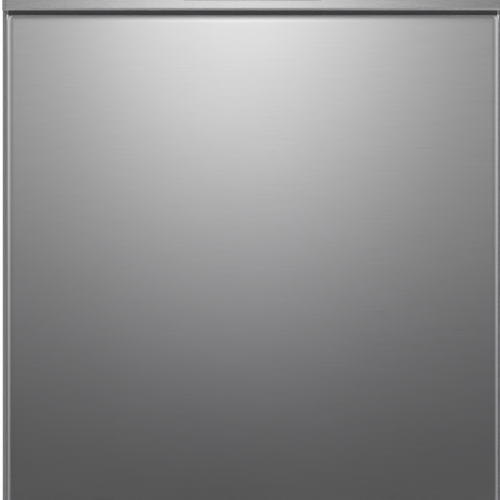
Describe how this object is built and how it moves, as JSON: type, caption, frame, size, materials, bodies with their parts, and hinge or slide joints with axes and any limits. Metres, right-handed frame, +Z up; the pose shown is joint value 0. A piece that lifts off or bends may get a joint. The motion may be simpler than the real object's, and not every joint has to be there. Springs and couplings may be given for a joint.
{
  "type": "dishwasher",
  "caption": "Free-standing dishwasher with a brushed steel drop-down door, recessed handle in the fascia, pull-out racks, spinning spray arms and a laminated worktop.",
  "frame": {"origin": "on the floor, under the middle of the machine", "axes": "+Z up, +X to the right as seen from the front, +Y to the rear; the door faces -Y"},
  "size_m": [0.598, 0.6, 0.845],
  "materials": {
    "door_steel": "horizontally brushed, satin",
    "tub_steel": "bright rolled sheet",
    "case_paint": "fine silver-grey powder coat",
    "zinc_sheet": "galvanised",
    "worktop_board": "grey laminate on board",
    "black_plastic": "fine moulded texture",
    "grey_plastic": "moulded, slightly glossy",
    "white_plastic": "moulded",
    "pump_case": "moulded",
    "rubber": "soft extruded",
    "rack_coat": "grey coated wire",
    "wheel_plastic": "moulded",
    "element": "heat-tinted tube",
    "screws": "bright zinc",
    "window": "dark smoked",
    "buttons": "satin metallised"
  },
  "bodies": {
    "cabinet": {"worktop": "worktop_board", "side_panel_left": "case_paint", "side_panel_right": "case_paint", "rear_panel": "zinc_sheet", "base_tray": "black_plastic", "plinth": "black_plastic", "levelling_feet": "black_plastic", "top_rail": "zinc_sheet", "case_screws": "screws", "tub": "tub_steel", "tub_gasket": "rubber", "latch_strike": "tub_steel", "hinge_brackets": "zinc_sheet", "sump": "grey_plastic", "filter_plate": "tub_steel", "circulation_pump": "pump_case", "drain_pump": "white_plastic", "heating_element": "element", "spray_feed_duct": "grey_plastic", "ceiling_spray_head": "grey_plastic", "softener_tank": "white_plastic", "inlet_valve": "white_plastic", "drain_spigot": "white_plastic", "mains_inlet": "black_plastic", "air_break_chamber": "white_plastic"},
    "door": {"door_panel": "door_steel", "fascia": "door_steel", "handle_pocket": "black_plastic", "door_inner_panel": "tub_steel", "door_seal": "rubber", "door_lock": "black_plastic", "door_screws": "screws", "hinge_arms": "zinc_sheet", "display_window": "window", "control_module": "pump_case", "dispenser_body": "grey_plastic"},
    "lower_rack": {"lower_rack": "rack_coat", "cutlery_basket": "grey_plastic"},
    "upper_rack": {"upper_rack": "rack_coat"},
    "dispenser_lid": {"dispenser_lid": "grey_plastic"},
    "rinse_aid_cap": {"rinse_aid_cap": "white_plastic"},
    "power_button": {"power_button": "buttons"},
    "program_button": {"program_button": "buttons"},
    "timer_button": {"timer_button": "buttons"},
    "start_button": {"start_button": "buttons"},
    "folding_tines": {"folding_tines": "rack_coat"},
    "cup_shelf_left": {"cup_shelf_left": "rack_coat"},
    "cup_shelf_right": {"cup_shelf_right": "rack_coat"},
    "upper_rails": {"upper_rails": "grey_plastic"},
    "lower_spray_arm": {"lower_spray_arm": "grey_plastic"},
    "upper_spray_arm": {"upper_spray_arm": "grey_plastic"},
    "filter_cup": {"filter_cup": "grey_plastic"},
    "salt_cap": {"salt_cap": "white_plastic"},
    "pump_impeller": {"pump_impeller": "pump_case"},
    "lower_wheels_front": {"lower_wheels_front": "wheel_plastic"},
    "lower_wheels_rear": {"lower_wheels_rear": "wheel_plastic"},
    "upper_wheels_front": {"upper_wheels_front": "wheel_plastic"},
    "upper_wheels_rear": {"upper_wheels_rear": "wheel_plastic"},
    "rail_rollers_front": {"rail_rollers_front": "wheel_plastic"},
    "rail_rollers_rear": {"rail_rollers_rear": "wheel_plastic"}
  },
  "joints": [
    {"name": "door_hinge", "type": "hinge", "parent": "cabinet", "child": "door", "pos_m": [0, -0.2785, 0.138], "axis": [1, 0, 0], "range_deg": [0, 90]},
    {"name": "lower_rack_slide", "type": "slide", "parent": "cabinet", "child": "lower_rack", "axis": [0, -1, 0], "range_m": [0, 0.142]},
    {"name": "upper_rails_slide", "type": "slide", "parent": "cabinet", "child": "upper_rails", "axis": [0, -1, 0], "range_m": [0, 0.221]},
    {"name": "upper_rack_slide", "type": "slide", "parent": "cabinet", "child": "upper_rack", "axis": [0, -1, 0], "range_m": [0, 0.394]},
    {"name": "dispenser_lid_slide", "type": "slide", "parent": "door", "child": "dispenser_lid", "axis": [0, 0, 1], "range_m": [0, 0.084]},
    {"name": "rinse_cap_turn", "type": "hinge", "parent": "door", "child": "rinse_aid_cap", "pos_m": [-0.04, -0.2405, 0.425], "axis": [0, 1, 0], "range_deg": [0, 90]},
    {"name": "folding_tines_fold", "type": "hinge", "parent": "lower_rack", "child": "folding_tines", "pos_m": [0, -0.04, 0.214], "axis": [1, 0, 0], "range_deg": [0, 88]},
    {"name": "cup_shelf_right_fold", "type": "hinge", "parent": "upper_rack", "child": "cup_shelf_right", "pos_m": [0.242, 0, 0.536], "axis": [0, 1, 0], "range_deg": [0, 85]},
    {"name": "cup_shelf_left_fold", "type": "hinge", "parent": "upper_rack", "child": "cup_shelf_left", "pos_m": [-0.242, 0, 0.536], "axis": [0, -1, 0], "range_deg": [0, 85]},
    {"name": "lower_spray_spin", "type": "hinge", "parent": "cabinet", "child": "lower_spray_arm", "pos_m": [0, 0, 0.171], "axis": [0, 0, 1], "continuous": true},
    {"name": "upper_spray_spin", "type": "hinge", "parent": "upper_rack", "child": "upper_spray_arm", "pos_m": [0, 0, 0.433], "axis": [0, 0, 1], "continuous": true},
    {"name": "filter_cup_turn", "type": "hinge", "parent": "cabinet", "child": "filter_cup", "pos_m": [0.055, 0, 0.152], "axis": [0, 0, 1], "range_deg": [0, 90]},
    {"name": "salt_cap_turn", "type": "hinge", "parent": "cabinet", "child": "salt_cap", "pos_m": [-0.125, -0.09, 0.154], "axis": [0, 0, 1], "range_deg": [0, 270]},
    {"name": "pump_impeller_spin", "type": "hinge", "parent": "cabinet", "child": "pump_impeller", "pos_m": [-0.17, 0, 0.1], "axis": [1, 0, 0], "continuous": true},
    {"name": "power_button_press", "type": "slide", "parent": "door", "child": "power_button", "axis": [0, 1, 0], "range_m": [0, 0.0015], "stiffness_N_per_m": 600},
    {"name": "program_button_press", "type": "slide", "parent": "door", "child": "program_button", "axis": [0, 1, 0], "range_m": [0, 0.0015], "stiffness_N_per_m": 600},
    {"name": "timer_button_press", "type": "slide", "parent": "door", "child": "timer_button", "axis": [0, 1, 0], "range_m": [0, 0.0015], "stiffness_N_per_m": 600},
    {"name": "start_button_press", "type": "slide", "parent": "door", "child": "start_button", "axis": [0, 1, 0], "range_m": [0, 0.0015], "stiffness_N_per_m": 600},
    {"name": "lower_wheels_front_roll", "type": "hinge", "parent": "lower_rack", "child": "lower_wheels_front", "pos_m": [0, -0.1125, 0.1893], "axis": [1, 0, 0], "range_deg": [0, 482]},
    {"name": "lower_wheels_rear_roll", "type": "hinge", "parent": "lower_rack", "child": "lower_wheels_rear", "pos_m": [0, 0.1775, 0.1893], "axis": [1, 0, 0], "range_deg": [0, 482]},
    {"name": "upper_wheels_front_roll", "type": "hinge", "parent": "upper_rack", "child": "upper_wheels_front", "pos_m": [0, -0.0405, 0.56], "axis": [1, 0, 0], "range_deg": [0, 1048]},
    {"name": "upper_wheels_rear_roll", "type": "hinge", "parent": "upper_rack", "child": "upper_wheels_rear", "pos_m": [0, 0.1845, 0.56], "axis": [1, 0, 0], "range_deg": [0, 1048]},
    {"name": "rail_rollers_front_roll", "type": "hinge", "parent": "cabinet", "child": "rail_rollers_front", "pos_m": [0, -0.1845, 0.56], "axis": [1, 0, 0], "range_deg": [0, 1332]},
    {"name": "rail_rollers_rear_roll", "type": "hinge", "parent": "cabinet", "child": "rail_rollers_rear", "pos_m": [0, -0.0345, 0.56], "axis": [1, 0, 0], "range_deg": [0, 1332]}
  ],
  "couplings": [
    {"joint": "lower_rack_slide", "follows": "door_hinge", "m_per_rad": 0.09},
    {"joint": "upper_rails_slide", "follows": "door_hinge", "m_per_rad": 0.14},
    {"joint": "upper_rack_slide", "follows": "door_hinge", "m_per_rad": 0.25},
    {"joint": "lower_wheels_front_roll", "follows": "door_hinge", "ratio": 5.2941},
    {"joint": "lower_wheels_rear_roll", "follows": "door_hinge", "ratio": 5.2941},
    {"joint": "upper_wheels_front_roll", "follows": "door_hinge", "ratio": 11.579},
    {"joint": "upper_wheels_rear_roll", "follows": "door_hinge", "ratio": 11.579},
    {"joint": "rail_rollers_front_roll", "follows": "door_hinge", "ratio": 14.737},
    {"joint": "rail_rollers_rear_roll", "follows": "door_hinge", "ratio": 14.737}
  ]
}
